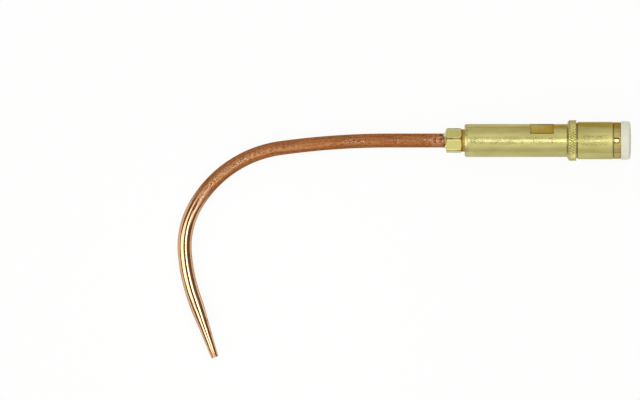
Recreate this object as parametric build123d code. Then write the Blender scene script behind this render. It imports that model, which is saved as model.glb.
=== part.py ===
from build123d import *
from math import cos, pi, radians, sin, sqrt
import os

# Gas welding tip: a bent copper tip tube silver-brazed into a brass tip nut, which screws into
# the front of a round mixer barrel. A knurled coupling nut turns on the rear of the barrel and
# draws the sealed inlet tail into the torch. A plastic cap plugs the nut until it is used.
#
# Frame: millimetres, +Z up, with the bend of the tube lying in the XY plane. X is the barrel's
# axis and +X points at the torch. The origin is the centre of the coupling nut's rear face.
# Turned pieces are drawn as (station along X, radius) outlines and revolved about X.

# Clearances between pieces
press_gap = 0.02          # pressed or screwed together, on the radius
braze_gap = 0.05          # filled by the braze, on the radius
running_gap = 0.06        # coupling nut on its journal, on the radius
nut_end_play = 0.05       # coupling nut between its two shoulders, at each end
cap_gap = 0.05            # cap skirt inside the nut's thread, on the radius
flange_gap = 0.25         # the tail's flange passing through the nut's thread, on the radius

# Tip tube, drawn copper
tube_od = 6.35
tube_bore = 3.2
tube_straight = 25.2
lead_in_radius = 363.0
lead_in_angle = 7.9             # degrees of turn, as the next three angles are
main_bend_radius = 52.7
main_bend_angle = 52.3
tight_bend_radius = 37.4
tight_bend_angle = 34.4
easing_radius = 82.9
easing_angle = 14.7
tube_end_length = 4.1
swage_first_length = 10.0
swage_first_od = 4.9
swage_last_length = 14.0
tip_end_od = 3.25
tip_end_radius = 0.25
orifice = 1.2
orifice_length = 8.0
orifice_funnel_length = 4.0

# Silver braze where the tube leaves the tip nut
braze_on_face = 0.8
braze_on_tube = 3.1

# Tip nut, turned from hexagon bar
hex_across_flats = 10.4
hex_length = 7.15
hex_angle = 8.0                 # degrees from +Z towards +Y, to the nearest corner
hex_crown_angle = 30.0          # between the crown and the hexagon's end face
hex_crown_inset = 0.15          # the end face's circle inside the across-flats circle
neck_od = 10.2
neck_length = 1.35
shank_od = 8.0
shank_length = 8.0
shank_chamfer = 0.5
tube_socket_depth = 5.0         # past the barrel's front face

# Mixer barrel
barrel_od = 15.0
barrel_length = 46.45
barrel_nose_length = 1.1
barrel_nose_depth = 0.4
barrel_edge = 0.15
flat_across = 12.7
flat_length = 10.7
flat_setback = 6.05             # from the barrel's rear shoulder
flat_angle = 56.0               # degrees from +Z towards +Y
mixing_bore = 4.0
journal_od = 11.0
tail_thread_depth = 6.4

# Mixing throat, pressed into the barrel
throat_od = 7.0
throat_length = 16.0
throat_bore = 1.9
throat_parallel = 2.0
throat_mouth = 5.0
throat_mouth_depth = 2.7

# Coupling nut
nut_length = 24.4
collar_height = 0.7             # the collar standing proud of the sleeve
collar_length = 4.1
collar_lip = 0.15               # the nut's front face standing proud of the barrel
collar_nose_length = 0.65
collar_land_length = 1.2        # nose and plain land in front of the knurl
collar_edge = 0.2
knurl_pitch = 1.35
knurl_depth = 0.28
knurl_angle = 30.0
undercut_width = 0.7
undercut_depth = 0.4
sleeve_od = 17.0
sleeve_edge = 0.12
groove_width = 0.55
groove_depth = 0.3
land_drop = 0.15                # the end land lying lower than the sleeve
land_length = 3.2
land_edge = 0.5
nut_web = 4.2
thread_minor = 13.2
thread_height = 0.55
thread_relief_length = 2.6
nut_mouth_depth = 1.2
nut_mouth_chamfer = 0.3

# Inlet tail
tail_thread_od = 9.0
tail_thread_chamfer = 0.4
flange_thickness = 2.4
front_body_od = 10.2
front_body_length = 8.2
step_length = 1.0
nose_od = 7.6
nose_length = 7.1
nose_chamfer = 0.7
ring_section = 1.78
ring_groove_width = 2.2
ring_groove_depth = 1.15
front_ring_setback = 1.5        # from the flange to its groove
rear_ring_setback = 1.7         # from the step to its groove
fuel_groove_width = 2.0
fuel_groove_depth = 0.8
fuel_land = 0.5                 # between the fuel groove and the step
fuel_hole = 1.4
fuel_hole_count = 4
tail_bore = 5.4
oxygen_bore = 2.4

# Gas injector, pressed into the tail
injector_od = 3.2
injector_bore = 1.6
injector_seat_length = 1.8      # past the step, inside the nose
injector_orifice = 0.7
injector_orifice_length = 1.5
injector_nose_od = 1.7
injector_nose_length = 2.6
injector_reach = 2.0            # past the front end of the tail
injector_entry = 1.3            # of the nose, inside the throat's mouth
fluted_collar_length = 2.5
fluted_collar_setback = 3.0
flute_width = 1.4
flute_count = 4

# Protective cap, moulded plastic
cap_lip = 0.4                   # the head standing proud of the nut's end land
cap_head_length = 4.6
cap_dome = 0.4
cap_corner_radius = 1.2
cap_skirt_length = 7.0
cap_skirt_wall = 1.1
cap_skirt_chamfer = 0.4
cap_end_wall = 1.7

# Stations along X of the faces that the pieces share
nut_front = -nut_length
collar_end = nut_front + collar_length
web_rear = nut_front + nut_web
barrel_shoulder = nut_front - nut_end_play
journal_end = web_rear + nut_end_play
barrel_front = barrel_shoulder - barrel_length
hex_rear = barrel_front - neck_length
hex_front = hex_rear - hex_length
shank_end = barrel_front + shank_length
tube_seat = barrel_front + tube_socket_depth
tail_front = journal_end - tail_thread_depth
flange_rear = journal_end + flange_thickness
step_start = flange_rear + front_body_length
nose_start = step_start + step_length
nose_end = nose_start + nose_length
front_ring_groove = flange_rear + front_ring_setback
rear_ring_groove = nose_start + rear_ring_setback
injector_front = tail_front - injector_reach
injector_seat = nose_start + injector_seat_length
throat_rear = injector_front + injector_entry
throat_front = throat_rear - throat_length

# Radii and diameters that the pieces share
collar_od = sleeve_od + 2 * collar_height
land_od = sleeve_od - 2 * land_drop
thread_major = thread_minor + 2 * thread_height
front_groove_od = front_body_od - 2 * ring_groove_depth
rear_groove_od = nose_od - 2 * ring_groove_depth
swage_length = swage_first_length + swage_last_length


def turned(*outline, rounded=(), radius=0):
    """Revolve a closed outline of (station, radius) points about X, with one corner rounded."""
    face = make_face(Polyline(*outline, close=True))
    if rounded:
        face = fillet(face.vertices().sort_by_distance(rounded)[0], radius)
    return revolve(face, Axis.X)


def rod(start, end, diameter):
    """A plain cylinder on the barrel's axis, from one station to another."""
    return cone(start, end, diameter, diameter)


def cone(start, end, start_od, end_od):
    """A straight taper on the barrel's axis, from one station to another."""
    return turned((start, 0), (end, 0), (end, end_od / 2), (start, start_od / 2))


def ring(start, end, inner_od, outer_od):
    """A square-section ring round the barrel's axis."""
    inner = inner_od / 2
    outer = outer_od / 2
    return turned((start, inner), (end, inner), (end, outer), (start, outer))


def around_axis(solid, count):
    """Copies of a solid, evenly spaced round the barrel's axis."""
    return [Rot(X=number * 360 / count) * solid for number in range(count)]


def tube_route():
    """The tube's centre line: a straight run, four tangent bends and a short straight end."""
    route = [Line((tube_seat, 0), (hex_front - tube_straight, 0))]
    bends = (
        (lead_in_radius, lead_in_angle),
        (main_bend_radius, main_bend_angle),
        (tight_bend_radius, tight_bend_angle),
        (easing_radius, easing_angle),
    )
    for radius, turn in bends:
        last = route[-1]
        route.append(JernArc(last @ 1, last % 1, radius, turn))
    last = route[-1]
    route.append(PolarLine(last @ 1, tube_end_length, direction=last % 1))
    return Curve() + route


def swept_round(route, diameter):
    """A round bar along the route."""
    section = Plane(origin=route @ 0, z_dir=route % 0) * Circle(diameter / 2)
    return sweep(section, path=route)


def at_route_end(route, *outline):
    """Revolve (radius, distance) points about the route's end direction, from its last point."""
    plane = Plane(origin=route @ 1, z_dir=route % 1, x_dir=(0, 0, 1))
    return plane * revolve(Plane.XZ * make_face(Polyline(*outline, close=True)), Axis.Z)


def swaged_end(route):
    """The tip's end, drawn down in two stages and rounded at its rim."""
    edge = tip_end_radius
    return at_route_end(
        route,
        (0, 0),
        (tube_od / 2, 0),
        (swage_first_od / 2, swage_first_length),
        (tip_end_od / 2, swage_length - edge),
        (tip_end_od / 2 - edge, swage_length),
        (0, swage_length),
    )


def swaged_bore(route):
    """The passage inside the swaged end: a funnel down to the long parallel orifice."""
    neck = swage_length - orifice_length
    return at_route_end(
        route,
        (0, 0),
        (tube_bore / 2, 0),
        (tube_bore / 2, neck - orifice_funnel_length),
        (orifice / 2, neck),
        (orifice / 2, swage_length),
        (0, swage_length),
    )


def make_tip_tube():
    """One drawn tube: bent, swaged at the tip and cut square at both ends."""
    route = tube_route()
    outside = swept_round(route, tube_od) + swaged_end(route)
    return outside - swept_round(route, tube_bore) - swaged_bore(route)


def make_braze_fillet():
    """The hollow-faced fillet of silver braze between the hexagon's face and the tube."""
    tube_side = tube_od / 2 + press_gap
    at_tube = (hex_front - braze_on_tube, tube_side)
    at_face = (hex_front, tube_side + braze_on_face)
    corner = (hex_front, tube_side)
    surface = TangentArc(at_tube, at_face, tangent=(1, 0))
    return revolve(make_face(Curve() + [surface, Polyline(at_face, corner, at_tube)]), Axis.X)


def ball(centre, radius):
    """A ball centred on the barrel's axis."""
    arc = CenterArc((centre, 0), radius, 0, 180)
    return revolve(make_face(Curve() + [arc, Line(arc @ 1, arc @ 0)]), Axis.X)


def make_hexagon():
    """The nut's hexagon, with its corners turned down to a crown at each end."""
    end_plane = Plane(origin=(hex_front, 0, 0), x_dir=(0, 0, 1), z_dir=(1, 0, 0))
    outline = Rot(Z=-hex_angle) * RegularPolygon(hex_across_flats / 2, 6, major_radius=False)
    face_radius = hex_across_flats / 2 - hex_crown_inset
    crown_radius = face_radius / sin(radians(hex_crown_angle))
    reach = sqrt(crown_radius**2 - face_radius**2)
    hexagon = extrude(end_plane * outline, hex_length)
    return hexagon & ball(hex_front + reach, crown_radius) & ball(hex_rear - reach, crown_radius)


def make_tip_nut():
    """Hexagon, round neck and threaded shank in one turning, bored for the tube."""
    neck = rod(hex_rear, barrel_front, neck_od)
    shank = rod(barrel_front, shank_end - shank_chamfer, shank_od)
    shank_tip = cone(shank_end - shank_chamfer, shank_end, shank_od, shank_od - 2 * shank_chamfer)
    socket = rod(hex_front, tube_seat, tube_od + 2 * braze_gap)
    passage = rod(tube_seat, shank_end, tube_bore)
    return make_hexagon() + neck + shank + shank_tip - socket - passage


def wrench_flat():
    """The material milled off for one wrench flat on the barrel."""
    middle = barrel_shoulder - flat_setback - flat_length / 2
    depth = barrel_od / 2
    milled = Box(flat_length, barrel_od, depth)
    return Rot(X=-flat_angle) * Pos(middle, 0, flat_across / 2 + depth / 2) * milled


def make_mixer_barrel():
    """The barrel with its wrench flats, rear journal, and the bores for what it holds."""
    outside = turned(
        (barrel_front, 0),
        (barrel_front, barrel_od / 2 - barrel_nose_depth),
        (barrel_front + barrel_nose_length, barrel_od / 2),
        (barrel_shoulder - barrel_edge, barrel_od / 2),
        (barrel_shoulder, barrel_od / 2 - barrel_edge),
        (barrel_shoulder, journal_od / 2),
        (journal_end, journal_od / 2),
        (journal_end, 0),
    )
    shank_socket = rod(barrel_front, shank_end, shank_od + 2 * press_gap)
    chamber = rod(shank_end, throat_rear, mixing_bore)
    throat_seat = rod(throat_front, tail_front, throat_od + 2 * press_gap)
    tail_socket = rod(tail_front, journal_end, tail_thread_od + 2 * press_gap)
    barrel = outside - shank_socket - chamber - throat_seat - tail_socket
    return barrel - around_axis(wrench_flat(), 2)


def make_mixing_throat():
    """The pressed-in throat: a funnel mouth, a short parallel throat and a long diffuser."""
    parallel_end = throat_rear - throat_mouth_depth
    parallel_start = parallel_end - throat_parallel
    body = rod(throat_front, throat_rear, throat_od)
    mouth = cone(parallel_end, throat_rear, throat_bore, throat_mouth)
    parallel = rod(parallel_start, parallel_end, throat_bore)
    diffuser = cone(throat_front, parallel_start, mixing_bore, throat_bore)
    return body - mouth - parallel - diffuser


def make_inlet_tail():
    """The tail that enters the torch: flange, two sealing grooves and the fuel groove."""
    flange_od = thread_minor - 2 * flange_gap
    body = turned(
        (tail_front, 0),
        (tail_front, tail_thread_od / 2 - tail_thread_chamfer),
        (tail_front + tail_thread_chamfer, tail_thread_od / 2),
        (journal_end, tail_thread_od / 2),
        (journal_end, flange_od / 2),
        (flange_rear, flange_od / 2),
        (flange_rear, front_body_od / 2),
        (step_start, front_body_od / 2),
        (nose_start, nose_od / 2),
        (nose_end - nose_chamfer, nose_od / 2),
        (nose_end, nose_od / 2 - nose_chamfer),
        (nose_end, 0),
    )
    fuel_end = step_start - fuel_land
    fuel_start = fuel_end - fuel_groove_width
    fuel_groove = ring(fuel_start, fuel_end, front_body_od - 2 * fuel_groove_depth, front_body_od)
    drill = Pos((fuel_start + fuel_end) / 2, 0, front_body_od / 4)
    drill = drill * Cylinder(fuel_hole / 2, front_body_od / 2)
    front_groove = ring(
        front_ring_groove, front_ring_groove + ring_groove_width, front_groove_od, front_body_od
    )
    rear_groove = ring(
        rear_ring_groove, rear_ring_groove + ring_groove_width, rear_groove_od, nose_od
    )
    fuel_chamber = rod(tail_front, step_start, tail_bore)
    injector_hole = rod(step_start, injector_seat, injector_od + 2 * press_gap)
    oxygen_way = rod(injector_seat, nose_end, oxygen_bore)
    body = body - front_groove - rear_groove - fuel_groove
    body = body - around_axis(drill, fuel_hole_count)
    return body - fuel_chamber - injector_hole - oxygen_way


def make_gas_injector():
    """The injector: a long tube, a fluted centring collar and a coned nose with the orifice."""
    nose_base = injector_front + injector_nose_length
    nose = cone(injector_front, nose_base, injector_nose_od, injector_od)
    stem = rod(nose_base, injector_seat, injector_od)
    collar_front = tail_front + fluted_collar_setback
    collar_rear = collar_front + fluted_collar_length
    collar = rod(collar_front, collar_rear, tail_bore - 2 * press_gap)
    flute_depth = (tail_bore - injector_od) / 2
    flute = Pos((collar_front + collar_rear) / 2, 0, (tail_bore + injector_od) / 4)
    flute = flute * Box(fluted_collar_length, flute_width, flute_depth)
    collar = collar - around_axis(flute, flute_count)
    jet_end = injector_front + injector_orifice_length
    jet = rod(injector_front, jet_end, injector_orifice)
    passage = rod(jet_end, injector_seat, injector_bore)
    return nose + stem + collar - jet - passage


def sealing_ring(groove, groove_od):
    """A round-section rubber ring, seated on the bottom of its groove."""
    radius = groove_od / 2 + press_gap + ring_section / 2
    return Pos(groove + ring_groove_width / 2, 0, 0) * Rot(Y=90) * Torus(radius, ring_section / 2)


def knurl_cutter(lean, length):
    """One V-shaped cutter at the top of the collar, leaning across the band."""
    proud = 2 * knurl_depth
    root = collar_od / 2 - knurl_depth
    vee = Polyline((0, root), (proud, root + proud), (-proud, root + proud), close=True)
    start_plane = Plane(origin=(-length / 2, 0, 0), x_dir=(0, 1, 0), z_dir=(1, 0, 0))
    return Rot(Z=lean) * extrude(start_plane * make_face(vee), length)


def diamond_knurl(start, end):
    """The collar's knurled band: two crossing sets of V cuts on a plain ring."""
    band = ring(start, end, sleeve_od - 2 * undercut_depth, collar_od)
    count = round(pi * collar_od / knurl_pitch)
    length = (end - start + 2 * knurl_depth) / cos(radians(knurl_angle))
    for lean in (knurl_angle, -knurl_angle):
        cutter = Pos((start + end) / 2, 0, 0) * knurl_cutter(lean, length)
        band = band - around_axis(cutter, count)
    return band


def make_coupling_nut():
    """Knurled collar, undercut, sleeve, groove and end land, bored and threaded inside."""
    knurl_start = nut_front + collar_land_length
    undercut_end = collar_end + undercut_width
    undercut_radius = sleeve_od / 2 - undercut_depth
    land_start = -land_length
    groove_start = land_start - groove_width
    groove_radius = sleeve_od / 2 - groove_depth
    outside = turned(
        (nut_front, 0),
        (nut_front, barrel_od / 2 + collar_lip),
        (nut_front + collar_nose_length, collar_od / 2 - collar_edge),
        (nut_front + collar_nose_length + collar_edge, collar_od / 2),
        (knurl_start, collar_od / 2),
        (knurl_start, undercut_radius),
        (undercut_end, undercut_radius),
        (undercut_end, sleeve_od / 2 - sleeve_edge),
        (undercut_end + sleeve_edge, sleeve_od / 2),
        (groove_start - sleeve_edge, sleeve_od / 2),
        (groove_start, sleeve_od / 2 - sleeve_edge),
        (groove_start, groove_radius),
        (land_start, groove_radius),
        (land_start, land_od / 2),
        (0, land_od / 2),
        (0, 0),
        rounded=(0, land_od / 2),
        radius=land_edge,
    )
    bore = rod(nut_front, web_rear, journal_od + 2 * running_gap)
    relief = rod(web_rear, web_rear + thread_relief_length, thread_major)
    thread = rod(web_rear, 0, thread_minor)
    mouth = rod(-nut_mouth_depth, 0, thread_major)
    lead = cone(-nut_mouth_chamfer, 0, thread_major, thread_major + 2 * nut_mouth_chamfer)
    return outside + diamond_knurl(knurl_start, collar_end) - bore - relief - thread - mouth - lead


def make_protective_cap():
    """A cap plug: a domed head on the nut's face and a hollow skirt inside its thread."""
    skirt = thread_minor / 2 - cap_gap
    inside = skirt - cap_skirt_wall
    rim = (cap_head_length - cap_dome, land_od / 2 + cap_lip)
    floor = cap_head_length - cap_end_wall
    outline = Polyline(
        (cap_head_length, 0),
        (floor, 0),
        (floor, inside),
        (-cap_skirt_length, inside),
        (-cap_skirt_length, skirt - cap_skirt_chamfer),
        (cap_skirt_chamfer - cap_skirt_length, skirt),
        (0, skirt),
        (0, land_od / 2 + cap_lip),
        rim,
    )
    dome = TangentArc((cap_head_length, 0), rim, tangent=(0, 1))
    face = make_face(Curve() + [outline, dome])
    face = fillet(face.vertices().sort_by_distance(rim)[0], cap_corner_radius)
    return revolve(face, Axis.X)


def write_part(name, solid):
    """Save one piece under its own name."""
    export_step(solid, f"parts/{name}.step")


os.makedirs("parts", exist_ok=True)
write_part("tip_tube", make_tip_tube())
write_part("braze_fillet", make_braze_fillet())
write_part("tip_nut", make_tip_nut())
write_part("mixer_barrel", make_mixer_barrel())
write_part("mixing_throat", make_mixing_throat())
write_part("gas_injector", make_gas_injector())
write_part("inlet_tail", make_inlet_tail())
write_part("front_sealing_ring", sealing_ring(front_ring_groove, front_groove_od))
write_part("rear_sealing_ring", sealing_ring(rear_ring_groove, rear_groove_od))
write_part("coupling_nut", make_coupling_nut())
write_part("protective_cap", make_protective_cap())
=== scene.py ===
# %% [markdown]
# # A bent gas welding tip, dressed in Blender
# The part is a real welding tip: a bent copper tube, silver-brazed into a brass hexagon nut,
# screwed into a brass mixer barrel with a knurled coupling nut and a plastic cap at its rear.
# The CAD model is loaded first and never moved. It is the fixed frame that each piece here
# is made in, in metres, so nothing has to be fitted by eye.

from math import atan, cos, pi, radians, sin, tan

import bpy
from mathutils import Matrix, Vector


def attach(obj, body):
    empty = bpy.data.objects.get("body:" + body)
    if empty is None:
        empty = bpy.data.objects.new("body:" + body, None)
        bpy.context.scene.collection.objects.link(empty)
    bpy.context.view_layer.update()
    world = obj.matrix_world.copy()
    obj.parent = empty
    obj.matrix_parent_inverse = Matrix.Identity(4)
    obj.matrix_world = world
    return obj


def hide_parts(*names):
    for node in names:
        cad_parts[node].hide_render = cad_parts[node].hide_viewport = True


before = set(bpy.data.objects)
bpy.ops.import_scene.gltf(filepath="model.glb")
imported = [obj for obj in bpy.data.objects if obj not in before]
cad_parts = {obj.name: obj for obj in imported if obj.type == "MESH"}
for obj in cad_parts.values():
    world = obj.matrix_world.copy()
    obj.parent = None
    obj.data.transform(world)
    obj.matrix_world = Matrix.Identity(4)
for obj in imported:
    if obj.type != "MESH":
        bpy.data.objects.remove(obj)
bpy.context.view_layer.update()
MM = 0.001
print("nodes:", sorted(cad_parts))

# %% [markdown]
# ## The camera
# The photograph looks straight down on the tip, from so far away that both ends are seen
# square on: no end face shows. A very long lens would give that. An orthographic camera is
# the limit of such a lens, and its one number is the width of the view in metres.

# %% Camera
photo_width = 640                        # pixels
pixels_per_mm = 2.205                    # measured along the barrel
view_width = photo_width / pixels_per_mm * MM

camera = bpy.data.objects.new("camera", bpy.data.cameras.new("camera"))
bpy.context.scene.collection.objects.link(camera)
camera.location = (-0.1365, -0.02698, 1.2)     # above the middle of the photograph
camera.data.type = "ORTHO"
camera.data.ortho_scale = view_width
bpy.context.scene.camera = camera
bpy.context.scene.view_settings.view_transform = "Standard"
print("view across in mm:", round(view_width / MM, 2))

# %% [markdown]
# ## Node trees written as sums
# A finish is arithmetic on places and noises. Wiring Math nodes by hand hides that, so one
# small class wraps a socket and lets Python's own operators add the nodes. Every other node
# comes from one method, which takes its type, its settings and then its sockets.


# %% Wire and Bench
SAME_PLACE = 1e-6                        # metres: places no further apart than this are the same


class Wire:
    """An output socket that can be used in sums, such as 1 - mask * 0.5."""

    def __init__(self, bench, socket):
        self.bench = bench
        self.socket = socket

    def maths(self, operation, *values):
        """A Math node on these values or wires."""
        return self.bench.node("ShaderNodeMath", {"operation": operation}, dict(enumerate(values)))

    def out(self, name):
        """Another output of the node that this wire leaves."""
        return Wire(self.bench, named(self.socket.node.outputs, name))

    def __add__(self, other):
        return self.maths("ADD", self, other)

    def __sub__(self, other):
        return self.maths("SUBTRACT", self, other)

    def __rsub__(self, other):
        return self.maths("SUBTRACT", other, self)

    def __mul__(self, other):
        return self.maths("MULTIPLY", self, other)

    def __truediv__(self, other):
        return self.maths("DIVIDE", self, other)

    def __pow__(self, other):
        return self.maths("POWER", self, other)

    def __mod__(self, other):
        return self.maths("FLOORED_MODULO", self, other)

    def __abs__(self):
        return self.maths("ABSOLUTE", self)

    __radd__ = __add__
    __rmul__ = __mul__

    def floor(self):
        return self.maths("FLOOR", self)

    def sine(self):
        return self.maths("SINE", self)

    def cosine(self):
        return self.maths("COSINE", self)

    def at_least(self, other):
        return self.maths("MAXIMUM", self, other)

    def at_most(self, other):
        return self.maths("MINIMUM", self, other)

    def between(self, start, end, low=0.0, high=1.0):
        """Low before start, high after end, and a smooth change between them."""
        settings = {"interpolation_type": "SMOOTHSTEP"}
        sockets = {"Value": self, "From Min": start, "From Max": end, "To Min": low, "To Max": high}
        return self.bench.node("ShaderNodeMapRange", settings, sockets)

    def until(self, start, end):
        """1 before start, 0 after end, and a smooth change between them."""
        return self.between(start, end, 1.0, 0.0)

    def inside(self, start, end):
        """1 from start to end, both of them included, and 0 elsewhere."""
        after_start = self.maths("GREATER_THAN", self, start - SAME_PLACE)
        return after_start * self.maths("LESS_THAN", self, end + SAME_PLACE)


def named(sockets, key):
    """The socket in use that has this name, or this number."""
    if isinstance(key, int):
        return sockets[key]
    return next(s for s in sockets if s.enabled and key in (s.name, s.identifier))


class Bench:
    """A node tree that is being filled."""

    def __init__(self, tree):
        self.tree = tree

    def node(self, kind, settings=None, sockets=None, output=0):
        """Any node: its settings are set first, then its sockets are given values or wires."""
        made = self.tree.nodes.new(kind)
        for name, value in (settings or {}).items():
            setattr(made, name, value)
        for key, value in (sockets or {}).items():
            socket = named(made.inputs, key)
            if isinstance(value, Wire):
                self.tree.links.new(value.socket, socket)
            else:
                socket.default_value = value
        return Wire(self, named(made.outputs, output)) if len(made.outputs) else made

    def vector(self, x, y, z):
        return self.node("ShaderNodeCombineXYZ", sockets={"X": x, "Y": y, "Z": z})


print("node helpers ready")

# %% [markdown]
# ## Light, floor and surroundings
# Bright turned metal shows little but the room around it. In the photograph a narrow strip
# hangs over the barrel, large pale panels stand on all four sides, and the ceiling between
# them is dark. Those few lamps make the thin highlight on the barrel, the dark bars on the
# polished rear land and the dark line down the middle of the bent tube. A small strip close
# above the swaged end gives it the white band of the photograph. It's so low that hardly any
# of its light reaches the barrel.


# %% Lamps
def soft_lamp(name, centre, along, across, aim, brightness, colour):
    """A flat lamp, turned about X. Brightness is what a perfect mirror would show of it."""
    data = bpy.data.lights.new(name, "AREA")
    data.color = colour
    data.shape = "RECTANGLE"
    data.size = along
    data.size_y = across
    data.energy = brightness * pi * along * across
    lamp = bpy.data.objects.new(name, data)
    bpy.context.scene.collection.objects.link(lamp)
    lamp.location = centre
    lamp.rotation_euler = (aim, 0, 0)
    lamp.visible_camera = False
    return lamp


plain_white = (1.0, 1.0, 1.0)
cool_white = (0.94, 1.0, 1.0)
# X from, X to, middle in Y, width in Y, height, brightness, colour
overhead = {
    "crown_strip": (-0.080, 0.05, -0.008, 0.180, 0.6, 5.9, cool_white),
    "right_panel": (0.17, 0.52, 0.0, 0.9, 1.0, 1.4, plain_white),
    "left_panel": (-2.6, -0.59, -0.15, 0.9, 1.0, 2.2, plain_white),
    "tip_strip": (-0.168, -0.144, -0.092, 0.047, 0.1, 5.0, plain_white),
}
for name, (start, end, side, width, height, brightness, colour) in overhead.items():
    centre = ((start + end) / 2, side, height)
    soft_lamp(name, centre, end - start, width, 0, brightness, colour)

panel_distance = 1.3
panel_length = 2.6
# name, from and to in degrees from straight up, brightness
panels = (("upper", 17, 50, 0.88), ("lower", 50, 79, 0.62))
for side, where in ((1, "back"), (-1, "front")):
    for level, near, far, brightness in panels:
        name = f"panel_{where}_{level}"
        middle = radians(near + far) / 2
        width = 2 * panel_distance * tan(radians(far - near) / 2)
        centre = (-0.1, side * panel_distance * sin(middle), panel_distance * cos(middle))
        soft_lamp(name, centre, panel_length, width, -side * middle, brightness, plain_white)

# %% [markdown]
# The world is a dim, warm room with a pale horizon in front and behind. It depends only on
# the direction looked in. To the camera it is plain white.

# %% World
world = bpy.data.worlds.new("studio")
bpy.context.scene.world = world
world.use_nodes = True
world.node_tree.nodes.clear()
sky = Bench(world.node_tree)
direction = sky.node("ShaderNodeTexCoord", output="Generated")
split = sky.node("ShaderNodeSeparateXYZ", sockets={0: direction})
endwise, height = abs(split), split.out("Z")
for_camera = sky.node("ShaderNodeLightPath", output="Is Camera Ray")
dim = height.between(0.09, 0.17).at_least(endwise.between(0.4, 0.8)) * (1 - for_camera)
sockets = {"Factor": dim, "A": (1, 1, 1, 1), "B": (0.16, 0.11, 0.065, 1)}
room = sky.node("ShaderNodeMix", {"data_type": "RGBA"}, sockets, output="Result")
background = sky.node("ShaderNodeBackground", sockets={"Color": room, "Strength": 1.0})
sky.node("ShaderNodeOutputWorld", sockets={"Surface": background})
print("world nodes:", len(world.node_tree.nodes))

# %% [markdown]
# The part lies on the collar of its coupling nut and on the outside of the tube's bend, and
# it rolls until its weight is over the line between them. The frame keeps the barrel level,
# so the floor is the plane that leans: it touches those two places. To the camera nearly all
# of the floor's white is its own, which leaves a faint shadow. In reflections about a quarter
# is its own, and from below the floor is clear.

# %% Floor
collar_touch = Vector((-0.022, 0, -0.0092))
floor_slope = Vector((-0.043, 0.043))                 # rise along X and along Y
floor_reach = 12.0


def floor_height(x, y):
    return collar_touch.z + floor_slope.x * (x - collar_touch.x) + floor_slope.y * y


corners = [(-floor_reach, -floor_reach), (floor_reach, -floor_reach)]
corners += [(floor_reach, floor_reach), (-floor_reach, floor_reach)]
floor_mesh = bpy.data.meshes.new("floor")
floor_mesh.from_pydata([(x, y, floor_height(x, y)) for x, y in corners], [], [(0, 1, 2, 3)])
floor = bpy.data.objects.new("floor", floor_mesh)
bpy.context.scene.collection.objects.link(floor)

paper = bpy.data.materials.new("white_paper")
paper.use_nodes = True
paper.node_tree.nodes.clear()
sheet = Bench(paper.node_tree)
own_white = 0.93                         # share of its white that isn't lamp light
own_white_mirrored = 0.27
rays = sheet.node("ShaderNodeLightPath", output="Is Camera Ray")
mirrored = rays.out("Is Glossy Ray").at_least(rays.out("Is Transmission Ray"))
seen = (rays * own_white).at_least(mirrored * own_white_mirrored)
matte = sheet.node("ShaderNodeBsdfDiffuse", sockets={"Color": (0.9, 0.9, 0.9, 1)})
glow = sheet.node("ShaderNodeEmission", sockets={"Color": (1, 1, 1, 1), "Strength": 1.0})
white = sheet.node("ShaderNodeMixShader", sockets={0: seen, 1: matte, 2: glow})
above = sheet.node("ShaderNodeNewGeometry", output="Backfacing")
clear = sheet.node("ShaderNodeBsdfTransparent")
shown = sheet.node("ShaderNodeMixShader", sockets={0: above, 1: white, 2: clear})
sheet.node("ShaderNodeOutputMaterial", sockets={"Surface": shown})
floor_mesh.materials.append(paper)
print("floor under the collar in mm:", round(floor_height(-0.022, 0) / MM, 2))

# %% [markdown]
# A warm reflection lies along the barrel's far side and fills the milled flat. A folded,
# brass-coloured card makes it here. Only reflections show the card: the camera doesn't see
# it and it throws no shadow. One corner is taller, as the reflection reaches higher on the
# coupling nut than on the barrel.

# %% Reflector card
card_mesh = bpy.data.meshes.new("reflector_card")
card_line = ((0.016, -0.0075), (0.030, -0.0075), (0.030, 0.0))        # Y and Z along the fold
card_spots = [(x, y, z) for y, z in card_line for x in (-0.081, 0.004)]
card_spots[-1] = (0.004, 0.030, 0.0085)                               # one corner stands taller
card_mesh.from_pydata(card_spots, [], [(0, 1, 3, 2), (2, 3, 5, 4)])
card = bpy.data.objects.new("reflector_card", card_mesh)
bpy.context.scene.collection.objects.link(card)
card.visible_camera = card.visible_diffuse = card.visible_shadow = False
gilt = bpy.data.materials.new("warm_card")
gilt.use_nodes = True
gilt.node_tree.nodes.clear()
warm = Bench(gilt.node_tree)
light = warm.node("ShaderNodeEmission", sockets={"Color": (0.56, 0.42, 0.18, 1), "Strength": 1.0})
warm.node("ShaderNodeOutputMaterial", sockets={"Surface": light})
card_mesh.materials.append(gilt)
print("card points:", len(card_mesh.vertices))

# %% [markdown]
# ## Finishes
# Each metal is a Principled shader with full metallic, whose base colour is the tint of its
# reflections. What makes it look machined is small: rings from the lathe tool, a soft
# unevenness in the tint, and scuffs from handling. All of it is procedural and reads the
# piece's own coordinates, so it stays put when the piece moves.


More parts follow.
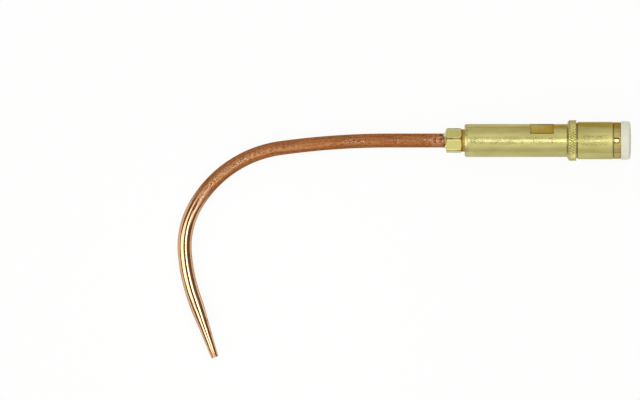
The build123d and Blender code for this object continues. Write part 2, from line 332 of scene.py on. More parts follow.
# %% A bench for materials
class Finish(Bench):
    """A material for one of the tip's surfaces. Its colour is built up stain by stain."""

    def __init__(self, name):
        self.material = bpy.data.materials.new(name)
        self.material.use_nodes = True
        super().__init__(self.material.node_tree)
        self.tree.nodes.clear()
        self.colour = None

    def place(self):
        """Where the point is on the piece, in metres."""
        return self.node("ShaderNodeTexCoord", output="Object")

    def noise(self, place, scale, detail=2.0, roughness=0.5):
        """Soft noise from 0 to 1. Scale is one number or three, in waves per metre."""
        if isinstance(scale, tuple):
            sockets = {0: place, 1: scale}
            place = self.node("ShaderNodeVectorMath", {"operation": "MULTIPLY"}, sockets)
            scale = 1.0
        sockets = {"Vector": place, "Scale": scale, "Detail": detail, "Roughness": roughness}
        return self.node("ShaderNodeTexNoise", sockets=sockets)

    def tint(self, share, low, high):
        """A colour between two colours."""
        settings = {"data_type": "RGBA"}
        sockets = {"Factor": share, "A": low, "B": high}
        return self.node("ShaderNodeMix", settings, sockets, output="Result")

    def stain(self, share, colour):
        """Covers this share of the colour so far with another colour."""
        self.colour = self.tint(share, self.colour, colour)

    def bump(self, height, depth, under=None):
        """Surface relief: a height of 1 stands this many metres proud."""
        sockets = {"Height": height, "Distance": depth, "Strength": 1.0}
        if under:
            sockets["Normal"] = under
        return self.node("ShaderNodeBump", sockets=sockets)

    def done(self, **sockets):
        """The Principled shader with these sockets, as the surface."""
        sockets = {name.replace("_", " "): value for name, value in sockets.items()}
        shader = self.node("ShaderNodeBsdfPrincipled", sockets=sockets)
        self.node("ShaderNodeOutputMaterial", sockets={"Surface": shader})
        print("finish:", self.material.name, len(self.tree.nodes), "nodes")
        return self.material


# %% [markdown]
# ### Turned brass
# The barrel and the coupling nut are turned from yellow brass bar and left as they come off
# the lathe. Rings run round the X axis, so they are noise of X alone. The crown, the line
# that is uppermost when the tip lies on a bench, has been scuffed by handling: fine dots and
# scratches break the highlight there.


# %% Turned brass
brass_light = (0.57, 0.535, 0.185, 1)
brass_deep = (0.47, 0.435, 0.13, 1)
stain_brown = (0.30, 0.22, 0.07, 1)
# painted shade: a dark brown laid into recesses and along the hexagon's corners
painted_shade = (0.13, 0.09, 0.015, 1)
oil_film = {"Coat_Roughness": 0.2, "Coat_IOR": 1.7}      # it adds an untinted sheen
brass_at_a_glance = (0.70, 0.62, 0.35, 1)        # tint of its reflections near the outline


class TurnedBrass(Finish):
    """Brass as it comes off a lathe."""

    def __init__(self, name):
        super().__init__(name)
        self.spot = self.place()
        split = self.node("ShaderNodeSeparateXYZ", sockets={0: self.spot})
        self.along, self.side, self.up = split, split.out("Y"), split.out("Z")
        self.from_axis = (self.side * self.side + self.up * self.up) ** 0.5
        self.rings = self.ring_noise(5200.0)
        self.coarse_rings = self.ring_noise(900.0)
        cloud = self.noise(self.spot, (90.0, 260.0, 260.0), detail=4.0)
        self.colour = self.tint(cloud.between(0.3, 0.7), brass_deep, brass_light)
        self.stains = self.noise(self.spot, 420.0, detail=5.0, roughness=0.65).between(0.62, 0.74)
        self.scuffs = None

    def ring_noise(self, scale):
        """Noise that changes along X only, as a lathe tool leaves it."""
        sockets = {"W": self.along, "Scale": scale, "Detail": 3.0}
        return self.node("ShaderNodeTexNoise", {"noise_dimensions": "1D"}, sockets)

    def within(self, start, end, ease):
        """1 between two stations along X, 0 beyond them."""
        return self.along.between(start, start + ease) * self.along.until(end - ease, end)

    def scuff(self, start, end, reach=0.0013, gaps=0.42):
        """Groups of fine dots, and slanted scratches between them, along the crown."""
        near_crown = abs(self.side).until(reach, reach + 0.0009)
        near_crown = near_crown * self.up.between(0.0, 0.002)
        groups = self.ring_noise(190.0).between(gaps, gaps + 0.08)
        dots = self.noise(self.spot, 2600.0, detail=1.0).between(0.53, 0.6)
        slanted = self.vector(self.along * 3600 + self.side * 2600, self.side * 500, 0.0)
        scratches = self.noise(slanted, 1.0, detail=1.0).between(0.56, 0.64)
        marks = (dots * groups).at_least(scratches * (1 - groups * 0.5))
        self.scuffs = marks * near_crown * self.within(start, end, 0.003)
        self.stain(self.scuffs * 0.85, (0.22, 0.18, 0.07, 1))

    def turned(self, roughness, coat=0.8):
        """Finishes the shader, with tool rings and scuffs as relief."""
        roughness = roughness + self.coarse_rings * 0.06
        relief = self.bump(self.rings * 0.5 + self.coarse_rings * 0.5, 0.000005)
        if self.scuffs:
            coat = coat - self.scuffs * 0.5
            roughness = roughness + self.scuffs * 0.2
            relief = self.bump(1 - self.scuffs, 0.00001, relief)
        return self.done(
            Base_Color=self.colour,
            Metallic=1.0,
            Roughness=roughness,
            Normal=relief,
            Specular_Tint=brass_at_a_glance,
            Coat_Weight=coat,
            **oil_film,
        )


# %% [markdown]
# Handling has marked the barrel's crown. Its wrench flats were milled across after turning,
# with the cutter's fine lines across them. They have a deeper yellow tint, painted shade at
# both ends where they meet their end walls, and darker, redder bands along their long edges.
# Soldering heat has tarnished the barrel's front edge.

# %% Barrel
barrel = TurnedBrass("finish_barrel_brass")
under_round = barrel.from_axis.until(0.00745, 0.00749)
milled = under_round * barrel.within(-0.0413, -0.0304, 0.0002)
cutter_lines = barrel.noise(barrel.spot, (1300.0, 90.0, 90.0), detail=2.0)
milled_middle = barrel.within(-0.0412, -0.0305, 0.0007)
tarnish = barrel.noise(barrel.spot, 1100.0, detail=5.0, roughness=0.65).between(0.44, 0.56)
tarnish = tarnish * barrel.along.until(-0.0698, -0.0692)
barrel.stain(barrel.stains * 0.35, stain_brown)
barrel.scuff(-0.070, -0.028)
barrel.stain(tarnish * 0.6, (0.20, 0.13, 0.06, 1))
barrel.stain(milled * 0.9, (0.60, 0.52, 0.09, 1))
barrel.stain(milled * cutter_lines.between(0.35, 0.65) * 0.15, (0.40, 0.28, 0.05, 1))
# painted shade at both ends of the flat, where it meets its end walls
barrel.stain(milled * (1 - milled_middle) * 0.85, (0.24, 0.15, 0.03, 1))
barrel.stain(milled * barrel.from_axis.between(0.0069, 0.0073) * 0.85, (0.20, 0.08, 0.015, 1))
barrel_finish = barrel.turned(0.32 - milled * 0.08)

# %% [markdown]
# On the coupling nut, the land behind the groove is polished to seal against the torch, so
# it mirrors the lamps. The groove and the undercut behind the knurl are darkened as painted
# shade, and the rounded rear edge is tinted orange-brown as painted shade. The knurled band is
# tinted paler, a painted sheen for the lamp light that its rough diamonds spread.

# %% Coupling nut
nut = TurnedBrass("finish_coupling_nut_brass")
land = nut.along.between(-0.0033, -0.0032)
rim = nut.along.between(-0.0009, -0.0006)
cuts = nut.within(-0.0038, -0.0031, 0.0001).at_least(nut.within(-0.0204, -0.0195, 0.0002))
knurl = nut.within(-0.0236, -0.0203, 0.0002)
# painted sheen: the knurled band is paler, for the lamp light its rough diamonds spread
nut.stain(knurl * 0.5, (0.66, 0.625, 0.25, 1))
nut.stain(land * 0.85, (0.46, 0.385, 0.14, 1))
nut.stain(nut.stains * (0.3 + 0.35 * land), (0.22, 0.14, 0.04, 1))
# painted shade: the rounded rear edge is tinted orange-brown
nut.stain(rim * 0.6, (0.52, 0.27, 0.05, 1))
# painted shade in the groove and in the undercut behind the knurl
nut.stain(cuts * 0.85, painted_shade)
nut.scuff(-0.0195, -0.0045, reach=0.0019, gaps=0.3)
nut_finish = nut.turned(0.31 - land * 0.25 + knurl * 0.04, 0.6 - land * 0.45 - knurl * 0.1)

# %% [markdown]
# The tip nut is cut from drawn hexagon bar. Its flats keep the fine lines of the drawing
# die. A pale band near each corner is a painted highlight, and the corners carry painted
# shade in patches. Its turned neck, sunk between the hexagon and the barrel, is tinted
# orange-brown as painted shade, and darker still at both ends.

# %% Tip nut and inner parts
hexagon_bar = TurnedBrass("finish_tip_nut_brass")
hexagon = hexagon_bar.along.until(-0.0724, -0.0722)
wander = hexagon_bar.noise(hexagon_bar.spot, 700.0, detail=4.0) * 0.0002
corner = (hexagon_bar.from_axis + wander).between(0.00587, 0.00594) * hexagon
hexagon_bar.stain(hexagon * 0.8, (0.68, 0.64, 0.185, 1))
# painted shade: the sunken neck is tinted orange-brown
hexagon_bar.stain((1 - hexagon) * 0.9, (0.54, 0.34, 0.06, 1))
neck_middle = hexagon_bar.within(-0.0720, -0.0706, 0.0005)
# painted shade at both ends of the neck, beside the hexagon and the barrel
hexagon_bar.stain((1 - hexagon) * (1 - neck_middle) * 0.7, (0.16, 0.08, 0.015, 1))
hexagon_bar.stain(hexagon_bar.stains * 0.3, stain_brown)
painted_edge_highlight = hexagon_bar.from_axis.between(0.0055, 0.00565) * hexagon
# painted highlight: a pale band on the faces near the corners
hexagon_bar.stain(painted_edge_highlight * 0.6, (0.86, 0.80, 0.36, 1))
patches = hexagon_bar.noise(hexagon_bar.spot, (420.0, 150.0, 150.0), detail=3.0)
# painted shade along the hexagon's corners, in patches
hexagon_bar.stain(corner * patches.between(0.35, 0.6, 0.95, 0.45), painted_shade)
die_lines = hexagon_bar.noise(hexagon_bar.spot, (60.0, 3000.0, 3000.0), detail=3.0)
hex_finish = hexagon_bar.done(
    Base_Color=hexagon_bar.colour,
    Metallic=1.0,
    Roughness=0.4 - hexagon * 0.2 + die_lines * 0.12,
    Normal=hexagon_bar.bump(die_lines, 0.000003),
    Specular_Tint=brass_at_a_glance,
    Coat_Weight=(hexagon - corner * 0.8) * 0.8,
    **oil_film,
)

inner = TurnedBrass("finish_inner_brass")
inner.stain(inner.stains * 0.3, stain_brown)
inner_finish = inner.turned(0.22)

# %% [markdown]
# ### Copper
# The tube is drawn copper. Near the nut the brazing torch has left it matte, warm and
# mottled. Towards the tip it was polished, so it mirrors the lamps. The pattern has to run
# along the bends, so the tube carries an attribute called unbent: the distance along its
# centre line, and the place across it, as if it had never been bent.

# %% Copper
red_black = (0.12, 0.035, 0.015, 1)
brown_black = (0.12, 0.045, 0.015, 1)
copper = Finish("finish_copper")
unbent = copper.node("ShaderNodeAttribute", {"attribute_name": "unbent"}, output="Vector")
split = copper.node("ShaderNodeSeparateXYZ", sockets={0: unbent})
distance, across, up = split, split.out("Y"), split.out("Z")
polished = (distance + copper.noise(unbent, (60.0, 200.0, 200.0)) * 0.02).between(0.131, 0.157)
hot = distance.until(0.0155, 0.026)
streaks = copper.noise(unbent, (70.0, 1500.0, 1500.0), detail=4.0, roughness=0.6)
mottle = copper.noise(unbent, (750.0, 1100.0, 1100.0), detail=3.0, roughness=0.7)
specks = mottle.between(0.53, 0.62)
bare = mottle.until(0.36, 0.47)
near_crown = abs(across).until(0.0003, 0.0013) * up.between(0.0, 0.001)
groups = copper.noise(unbent, (160.0, 60.0, 60.0)).between(0.47, 0.56)
scuffed = near_crown * groups * distance.until(0.055, 0.075)
dots = copper.noise(unbent, 1500.0, detail=1.0)
reddened = copper.noise(unbent, (90.0, 350.0, 350.0)).between(0.5, 0.62)
wear_and_glints = abs(across).until(0.0, 0.0018) * up.between(0.0, 0.002) * distance.between(0.075, 0.11)
grains = copper.noise(unbent, (1400.0, 2300.0, 2300.0), detail=2.0)

copper.colour = copper.tint(
    streaks.between(0.3, 0.7), (0.29, 0.105, 0.034, 1), (0.45, 0.20, 0.078, 1)
)
copper.stain(reddened * 0.4, (0.44, 0.145, 0.05, 1))
copper.stain(hot * 0.6, (0.50, 0.22, 0.11, 1))
copper.stain(specks * (0.4 + 0.5 * hot), (0.13, 0.035, 0.016, 1))
copper.stain(bare * (0.15 + 0.55 * hot), (0.74, 0.40, 0.24, 1))
copper.stain(scuffed * dots.between(0.54, 0.60) * 0.8, red_black)
copper.stain(scuffed * dots.until(0.38, 0.43) * 0.8, (0.86, 0.60, 0.42, 1))
# painted glints: the light grains on top of this stretch; its dark grains are wear
copper.stain(wear_and_glints * grains.between(0.5, 0.58) * 0.7, (0.90, 0.62, 0.38, 1))
copper.stain(wear_and_glints * grains.until(0.36, 0.45) * 0.75, brown_black)
drawn_copper = copper.colour

lines = copper.noise(unbent, (25.0, 2600.0, 2600.0), detail=3.0)
burnt = copper.noise(unbent, (160.0, 420.0, 420.0), detail=4.0, roughness=0.65)
copper.colour = copper.tint(
    lines.between(0.35, 0.65), (0.62, 0.36, 0.19, 1), (0.90, 0.64, 0.42, 1)
)
copper.stain(burnt.between(0.56, 0.66) * 0.6, (0.36, 0.18, 0.08, 1))
bright_copper = copper.colour
relief = copper.bump(mottle * (1 - polished), 0.00012)
relief = copper.bump(lines, 0.00001, relief)
tube_finish = copper.done(
    Base_Color=copper.tint(polished, drawn_copper, bright_copper),
    Metallic=1.0,
    Roughness=polished.between(0.0, 1.0, 0.44, 0.07) + bare * 0.05,
    Specular_Tint=(0.50, 0.32, 0.18, 1),
    Normal=relief,
)

# %% [markdown]
# ### Silver braze, rubber and plastic
# Silver braze freezes with a satin skin, dark at its thin edges where flux has burnt on. The
# sealing rings are black rubber. The cap is moulded plastic, off-white, with a very faint
# orange-peel surface.

# %% Braze, rubber and plastic
braze = Finish("finish_silver_braze")
shade = braze.noise(braze.place(), 900.0, detail=4.0, roughness=0.6)
toe = braze.node("ShaderNodeAttribute", {"attribute_name": "toe"}, output="Fac")
flux = (toe + (shade - 0.5) * 1.6).between(0.54, 0.66)
braze.colour = braze.tint(shade.between(0.3, 0.6), (0.46, 0.43, 0.28, 1), (0.90, 0.84, 0.60, 1))
braze.stain(flux * 0.97, (0.035, 0.02, 0.01, 1))
braze_finish = braze.done(
    Base_Color=braze.colour,
    Metallic=1.0,
    Roughness=0.22 + shade * 0.25,
    Normal=braze.bump(shade, 0.00012),
)

rubber = Finish("finish_black_rubber")
grain = rubber.noise(rubber.place(), 2600.0, detail=3.0)
rubber_finish = rubber.done(
    Base_Color=rubber.tint(grain, (0.012, 0.012, 0.013, 1), (0.03, 0.03, 0.032, 1)),
    Roughness=0.5 + grain * 0.2,
    Normal=rubber.bump(grain, 0.00001),
)

plastic = Finish("finish_white_plastic")
place = plastic.place()
peel = plastic.noise(place, 1100.0, detail=2.0)
tone = plastic.noise(place, 160.0, detail=3.0)
cap_finish = plastic.done(
    Base_Color=plastic.tint(tone, (0.71, 0.745, 0.61, 1), (0.775, 0.81, 0.69, 1)),
    Roughness=0.38 + peel * 0.12,
    Normal=plastic.bump(peel, 0.00002),
)

# %% [markdown]
# ## Pieces that follow a rule
# The coupling nut, the tube and the braze are each an outline carried round a line. One
# Geometry Nodes front end does that for all three. The piece's own points are the outline.
# A grid has one column for each outline point and one row for each step round the line. Each
# grid point looks its outline point up by number, and the tree only has to say where that
# goes in space. The edges of the grid meet and are merged, so the piece is closed.


# %% Outlines carried round a line
closing_distance = 2e-6                  # metres: grid points nearer than this become one
sharp_angle = radians(32)                # edges that bend more than this stay sharp


class Making(Bench):
    """A Geometry Nodes tree that carries the piece's own outline round a line."""

    def __init__(self, name, *sizes):
        super().__init__(bpy.data.node_groups.new(name, "GeometryNodeTree"))
        face = self.tree.interface
        face.new_socket("Geometry", in_out="INPUT", socket_type="NodeSocketGeometry")
        face.new_socket("Finish", in_out="INPUT", socket_type="NodeSocketMaterial")
        face.new_socket("Steps", in_out="INPUT", socket_type="NodeSocketInt")
        face.new_socket("Geometry", in_out="OUTPUT", socket_type="NodeSocketGeometry")
        for size in sizes:
            face.new_socket(size, in_out="INPUT", socket_type="NodeSocketFloat")
        self.given = self.node("NodeGroupInput")
        self.start()

    def size(self, name):
        """One of the tree's named inputs."""
        return self.given.out(name)

    def start(self):
        """The grid, and each grid point's outline station, radius and angle."""
        outline, steps = self.given, self.given.out("Steps")
        kind = "GeometryNodeAttributeDomainSize"
        count = self.node(kind, sockets={0: outline}, output="Point Count")
        sockets = {"Size X": 1.0, "Size Y": 1.0, "Vertices X": count + 1, "Vertices Y": steps + 1}
        self.grid = self.node("GeometryNodeMeshGrid", sockets=sockets)
        number = self.node("GeometryNodeInputIndex")
        column = (number / (steps + 1)).floor()
        position = self.node("GeometryNodeInputPosition")
        settings = {"data_type": "FLOAT_VECTOR"}
        sockets = {"Geometry": outline, "Value": position, "Index": column % count}
        point = self.node("GeometryNodeSampleIndex", settings, sockets)
        split = self.node("ShaderNodeSeparateXYZ", sockets={0: point})
        self.station, self.radius = split, split.out("Y")
        self.turn = (number % (steps + 1)) / steps
        self.angle = self.turn * (2 * pi)

    def round_the_axis(self, station, radius):
        """The place at this station and radius, at the grid point's own angle."""
        return self.vector(station, radius * self.angle.cosine(), radius * self.angle.sine())

    def finish(self, position, store=None):
        """Moves the grid to its place, closes it, and shades smooth what isn't an edge."""
        shape = self.grid
        if store:
            settings = {"data_type": "FLOAT_VECTOR", "domain": "POINT"}
            sockets = {"Geometry": shape, "Name": store[0], "Value": store[1]}
            shape = self.node("GeometryNodeStoreNamedAttribute", settings, sockets)
        shape = self.node("GeometryNodeSetPosition", sockets={"Geometry": shape, "Position": position})
        sockets = {"Geometry": shape, "Distance": closing_distance}
        shape = self.node("GeometryNodeMergeByDistance", sockets=sockets)
        shape = self.node("GeometryNodeFlipFaces", sockets={0: shape})
        corner = self.node("GeometryNodeInputMeshEdgeAngle")
        sharp = corner.maths("GREATER_THAN", corner, sharp_angle)
        shape = self.node("GeometryNodeSetShadeSmooth", sockets={0: shape, "Shade Smooth": True})
        sockets = {0: shape, "Selection": sharp, "Shade Smooth": False}
        shape = self.node("GeometryNodeSetShadeSmooth", {"domain": "EDGE"}, sockets)
        shape = self.node("GeometryNodeRealizeInstances", sockets={0: shape})
        sockets = {"Geometry": shape, "Material": self.given.out("Finish")}
        shape = self.node("GeometryNodeSetMaterial", sockets=sockets)
        self.node("NodeGroupOutput", sockets={0: shape})


def carry(name, outline, making, finish, steps, sizes):
    """Runs a making on an outline in millimetres and returns the plain piece."""
    points = bpy.data.meshes.new(name)
    points.from_pydata([(a * MM, b * MM, 0) for a, b in outline], [], [])
    holder = bpy.data.objects.new(name, points)
    bpy.context.scene.collection.objects.link(holder)
    modifier = holder.modifiers.new("making", "NODES")
    modifier.node_group = making.tree
    values = {"Finish": finish, "Steps": steps, **sizes}
    for item in making.tree.interface.items_tree:
        if item.name in values:
            modifier[item.identifier] = values[item.name]
    depsgraph = bpy.context.evaluated_depsgraph_get()
    made = bpy.data.meshes.new_from_object(
        holder.evaluated_get(depsgraph), preserve_all_data_layers=True, depsgraph=depsgraph
    )
    bpy.data.objects.remove(holder)
    bpy.data.meshes.remove(points)
    made.name = name
    piece = bpy.data.objects.new(name, made)
    bpy.context.scene.collection.objects.link(piece)
    return piece


def enclosed(piece):
    """The volume inside a piece in cubic millimetres. It is above 0 if the faces point out."""
    piece.data.calc_loop_triangles()
    spots = [vertex.co for vertex in piece.data.vertices]
    total = 0.0
    for triangle in piece.data.loop_triangles:
        a, b, c = (spots[number] for number in triangle.vertices)
        total += a.dot(b.cross(c)) / 6
    return total / MM**3


def divided(start, end, parts):
    """Evenly spaced outline points from start up to, and not including, end."""
    spans = list(zip(start, end))
    return [tuple(a + (b - a) * part / parts for a, b in spans) for part in range(parts)]


print("outline helpers ready")

# %% [markdown]
# ## The coupling nut
# A real coupling nut is turned and threaded on a lathe, and its collar is pressed between
# knurling wheels that leave two crossing sets of V grooves. Modelling the diamonds one by
# one would be slow, so the tree works out how deep the wheels cut at each grid point: each
# set of grooves is a saw-tooth of the angle, shifted along X by the lean of the grooves.
# The grooves lean by one grid step for each row, so grid points lie along the bottom of every
# groove and the top of every diamond. Each face there is split along its groove.
# The thread is one more such wave, which moves on by one pitch for each turn.


# %% Outline of the coupling nut
def eased(corners):
    """Rounds each (station, radius, ease) corner with a short arc that starts an ease away."""
    points = []
    for number, (station, radius, ease) in enumerate(corners):
        here = Vector((station, radius))
        if not ease:
            points.append(tuple(here))
            continue
        before = (Vector(corners[number - 1][:2]) - here).normalized() * ease
        after = (Vector(corners[(number + 1) % len(corners)][:2]) - here).normalized() * ease
        for share in (0.0, 0.3, 0.7, 1.0):
            points.append(tuple(here + before * (1 - share) ** 2 + after * share**2))
    return points


nut_front = -24.4
knurl_from, knurl_to = -23.2, -20.3
knurl_rows = 10                          # grid rows along the knurled band
knurl_pitch = 1.35                       # wanted: a whole number of teeth has to go round
tooth_steps = 8                          # grid steps round each tooth
collar_radius, sleeve_radius, land_radius = 9.2, 8.5, 8.35
cut_radius, groove_radius = 8.1, 8.2
bore_radius = 5.56
thread_from, thread_to = -17.6, -1.2
thread_minor_radius, thread_major_radius = 6.6, 7.15
thread_pitch = 1.0
thread_angle = 60                        # degrees between the thread's two flanks
thread_rows = 8                          # for each turn of the thread

front_edge = [
    (nut_front, bore_radius, 0.08),
    (nut_front, 7.65, 0.1),
    (-23.75, 9.0, 0.1),
    (-23.5, collar_radius, 0.1),
]
rear = [
    (knurl_to, cut_radius, 0),
    (-19.6, cut_radius, 0),
    (-19.6, sleeve_radius, 0.14),
    (-3.75, sleeve_radius, 0.14),
    (-3.75, groove_radius, 0),
    (-3.2, groove_radius, 0),
    (-3.2, land_radius, 0.06),
    (0, land_radius, 0.5),
    (0, 7.45, 0.06),
    (-0.3, thread_major_radius, 0),
    (thread_to, thread_major_radius, 0),
]
web = [
    (thread_from, thread_major_radius, 0),
    (-20.2, thread_major_radius, 0),
    (-20.2, bore_radius, 0),
]
front_points = eased(front_edge + [(knurl_from, collar_radius, 0)])[:-1]
knurl_points = divided((knurl_from, collar_radius), (knurl_to, collar_radius), knurl_rows)
thread_start = (thread_to, thread_minor_radius)
thread_end = (thread_from, thread_minor_radius)
turns = (thread_to - thread_from) / thread_pitch
thread_points = divided(thread_start, thread_end, round(turns * thread_rows)) + [thread_end]
rear_corners = [(knurl_to, collar_radius, 0)] + rear + [(*thread_start, 0)]
rear_points = eased(rear_corners)[:-1]
web_points = [point[:2] for point in web]
nut_outline = front_points + knurl_points + rear_points + thread_points + web_points
print("coupling nut outline:", len(nut_outline), "points")

# %% Tree of the coupling nut
teeth = round(pi * 2 * collar_radius / knurl_pitch)
tooth_width = pi * 2 * collar_radius / teeth
row_length = (knurl_to - knurl_from) / knurl_rows
knurl_lean = atan(tooth_width / tooth_steps / row_length)
knurl_depth = tooth_width * cos(knurl_lean) / 4
nut_sizes = {
    "Knurl from": knurl_from * MM,
    "Knurl to": knurl_to * MM,
    "Knurl radius": collar_radius * MM,
    "Knurl depth": knurl_depth * MM,
    "Knurl lean": knurl_lean,
    "Teeth": float(teeth),
    "Thread from": thread_from * MM,
    "Thread to": thread_to * MM,
    "Thread pitch": thread_pitch * MM,
    "Thread height": (thread_major_radius - thread_minor_radius) * MM,
    "Thread crest": thread_minor_radius * MM,
}
nut_making = Making("turned_knurled_threaded", *nut_sizes)
station, turn = nut_making.station, nut_making.turn
knurl_start, collar = nut_making.size("Knurl from"), nut_making.size("Knurl radius")
lean, depth = nut_making.size("Knurl lean"), nut_making.size("Knurl depth")
tooth = collar * 2 * pi / nut_making.size("Teeth")
slant = (station - knurl_start) * lean.maths("TANGENT", lean) / tooth
cuts = []
for side in (1, -1):
    phase = (turn * nut_making.size("Teeth") + slant * side) % 1.0
    cuts.append((depth - abs(phase - 0.5) * tooth * lean.cosine()).at_least(0.0))
in_knurl = station.inside(knurl_start, nut_making.size("Knurl to"))
on_collar = nut_making.radius.inside(collar, collar)
knurled = cuts[0].at_least(cuts[1]) * in_knurl * on_collar

# The deeper of the two grooves decides which way a face is split.
deeper = (cuts[0] - cuts[1]) * in_knurl
sockets = {"Geometry": nut_making.grid, "Name": "groove_way", "Value": deeper}
settings = {"data_type": "FLOAT"}
nut_making.grid = nut_making.node("GeometryNodeStoreNamedAttribute", settings, sockets)
groove_way = nut_making.node("GeometryNodeInputNamedAttribute", sockets={"Name": "groove_way"})
for split, comparison in (("FIXED", "LESS_THAN"), ("FIXED_ALTERNATE", "GREATER_THAN")):
    sockets = {0: nut_making.grid, "Selection": groove_way.maths(comparison, groove_way, 0.0)}
    nut_making.grid = nut_making.node("GeometryNodeTriangulate", {"quad_method": split}, sockets)

pitch, height = nut_making.size("Thread pitch"), nut_making.size("Thread height")
thread_mouth = nut_making.size("Thread to")
flank = 1 / tan(radians(thread_angle / 2))
wave = (station / pitch + turn) % 1.0 - 0.5
shallow = (pitch * (flank / 2) - height) / 2
groove = (abs(wave) * pitch * flank - shallow).at_least(0.0).at_most(height)
lead_in = height - (thread_mouth - station)
groove = groove.at_least(lead_in)
in_thread = station.inside(nut_making.size("Thread from"), thread_mouth)
on_crest = nut_making.radius.inside(0.0, nut_making.size("Thread crest"))
radius = nut_making.radius - knurled + groove * in_thread * on_crest
nut_making.finish(nut_making.round_the_axis(station, radius))

nut_steps = teeth * tooth_steps
coupling_nut = carry(
    "knurled_coupling_nut", nut_outline, nut_making, nut_finish, nut_steps, nut_sizes
)
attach(coupling_nut, "nut")
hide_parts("coupling_nut")
print("coupling nut:", len(coupling_nut.data.polygons), "faces,", round(enclosed(coupling_nut)), "mm3")

# %% [markdown]
# ## The bent tube
# A tube bender presses a straight tube round formers, one bend after another, and rotary
# swaging draws its end down in two steps. The tree does the same with numbers: how far
# along the tube a point is says how much of each bend it has been through, and that gives
# the place and direction of the centre line exactly, with no path to resample.

# %% Outline of the tube
tube_radius, tube_bore_radius = 3.175, 1.6
tube_start = -65.9
straight = 38.7                          # from the tube's seat inside the nut to the first bend
bends = ((363.0, 7.9), (52.7, 52.3), (37.4, 34.4), (82.9, 14.7))      # radius, degrees
end_straight = 4.1
swage_from = straight + sum(radius * radians(turn) for radius, turn in bends) + end_straight
swage_step = swage_from + 10.0           # between the two tapers
swage_to = swage_from + 24.0
step_radius, tip_radius, orifice_radius = 2.45, 1.625, 0.6
swage_ease = 1.5
orifice_start = swage_to - 8.0
bore_end = orifice_start - 4.0           # a funnel leads from here to the orifice
outer = divided((0, tube_radius), (straight, tube_radius), 12)
outer += divided((straight, tube_radius), (swage_from - swage_ease, tube_radius), 120)
swaged = eased([
    (straight, tube_radius, 0),
    (swage_from, tube_radius, swage_ease),
    (swage_step, step_radius, swage_ease),
    (swage_to, tip_radius, 0.25),
    (swage_to, orifice_radius, 0.08),
    (orifice_start, orifice_radius, 0),
    (bore_end, tube_bore_radius, 0),
])[1:]
inner = divided((bore_end, tube_bore_radius), (0, tube_bore_radius), 70)[1:]
inner.append((0, tube_bore_radius))
tube_outline = outer + swaged + inner
print("tube outline:", len(tube_outline), "points, tube length in mm:", round(swage_to, 1))

# %% Tree of the tube
bend_names = ["Lead-in", "Main bend", "Tight bend", "Easing"]
tube_sizes = {"Start": tube_start * MM, "Straight": straight * MM}
for name, (radius, turn) in zip(bend_names, bends):
    tube_sizes[f"{name} radius"] = radius * MM
    tube_sizes[f"{name} turn"] = radians(turn)
tube_making = Making("bent_tube", *tube_sizes)
distance = tube_making.station
walked = tube_making.size("Straight")
turned = walked * 0                      # a wire that holds 0, so sums can start from it
heading = turned
east = tube_making.size("Start") - distance.at_most(walked)
north = turned
for name in bend_names:
    radius, turn = tube_making.size(f"{name} radius"), tube_making.size(f"{name} turn")
    run = (distance - walked).at_least(0.0).at_most(radius * turn)
    now = turned + run / radius
    east = east - radius * (now.sine() - turned.sine())
    north = north + radius * (now.cosine() - turned.cosine())
    heading = heading + run / radius
    turned = turned + turn
    walked = walked + radius * turn
run = (distance - walked).at_least(0.0)
east = east - turned.cosine() * run
north = north - turned.sine() * run
inward = tube_making.radius * tube_making.angle.cosine()
upward = tube_making.radius * tube_making.angle.sine()
place = tube_making.vector(east + heading.sine() * inward, north - heading.cosine() * inward, upward)
unbent = tube_making.vector(distance, inward, upward)
tube_making.finish(place, store=("unbent", unbent))

tube_steps = 64
tip_tube = carry(
    "bent_tip_tube", tube_outline, tube_making, tube_finish, tube_steps, tube_sizes
)
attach(tip_tube, "tip_and_mixer")
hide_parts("tip_tube")
print("tube:", len(tip_tube.data.polygons), "faces,", round(enclosed(tip_tube)), "mm3")

# %% [markdown]
# ## The braze
# Molten silver is drawn into the gap and freezes as a hollow-faced fillet. It never runs
# round evenly: on this tip it reaches far along one side of the tube and hardly shows on
# top. The outline is drawn in shares of a reach along the tube and a rise up the nut's
# face, and the tree gives each angle its own reach, from two waves and a little noise.

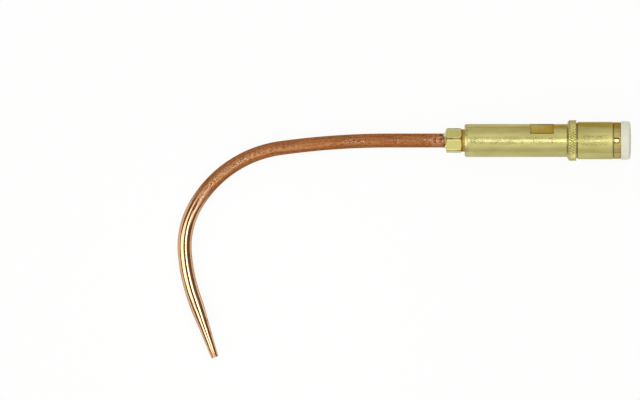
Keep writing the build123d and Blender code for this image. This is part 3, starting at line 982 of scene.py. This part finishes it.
# %% Braze
hollow = 1.9                             # above 1, the fillet's face is hollow
face_shares = (0, 0.12, 0.26, 0.4, 0.55, 0.7, 0.85, 1)
fillet = [((1 - share) ** hollow, share**hollow) for share in face_shares] + [(0.0, 0.0)]
braze_sizes = {
    "Face": -79.4 * MM,
    "Tube radius": 3.2 * MM,
    "Reach": 1.9 * MM,
    "Sideways": 0.85 * MM,
    "Downwards": 0.8 * MM,
    "Two ways": 0.5 * MM,
    "Rise": 0.8 * MM,
    "Uneven": 1.1 * MM,
}
least_reach = 0.3 * MM
rise_ripple = 0.3 * MM
braze_making = Making("braze_fillet", *braze_sizes)
angle = braze_making.angle
ring = braze_making.vector(angle.cosine(), angle.sine(), 0.0)
settings = {"noise_dimensions": "3D"}
sockets = {"Vector": ring, "Scale": 2.6, "Detail": 3.0}
ripple = braze_making.node("ShaderNodeTexNoise", settings, sockets) - 0.5
usual_reach = braze_making.size("Reach")
reach = usual_reach + angle.cosine() * braze_making.size("Sideways")
reach = reach - angle.sine() * braze_making.size("Downwards")
reach = reach + (angle * 2).cosine() * braze_making.size("Two ways")
reach = (reach + ripple * braze_making.size("Uneven")).at_least(least_reach)
rise = braze_making.size("Rise") * (0.5 + 0.5 * reach / usual_reach) + ripple * rise_ripple
toe = braze_making.station / MM
along = braze_making.size("Face") - reach * toe
radius = braze_making.size("Tube radius") + rise * braze_making.radius / MM
place = braze_making.round_the_axis(along, radius)
braze_making.finish(place, store=("toe", braze_making.vector(toe, toe, toe)))

braze_steps = 96
braze_piece = carry(
    "silver_braze_fillet", fillet, braze_making, braze_finish, braze_steps, braze_sizes
)
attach(braze_piece, "tip_and_mixer")
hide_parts("braze_fillet")
print("braze:", len(braze_piece.data.polygons), "faces,", round(enclosed(braze_piece), 1), "mm3")

# %% [markdown]
# ## Pieces kept from the CAD model
# The hexagon nut, the barrel, the parts inside it, the rubber rings and the cap are plain
# turned or moulded shapes, and the CAD solids already have them right. They keep their
# meshes and only get their finishes.

# %% Finishes of the CAD pieces
kept = {
    "tip_nut": hex_finish,
    "mixer_barrel": barrel_finish,
    "mixing_throat": inner_finish,
    "inlet_tail": inner_finish,
    "gas_injector": inner_finish,
    "front_sealing_ring": rubber_finish,
    "rear_sealing_ring": rubber_finish,
    "protective_cap": cap_finish,
}
for node, finish in kept.items():
    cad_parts[node].material_slots[0].material = finish
    print(node, "is finished in", finish.name)
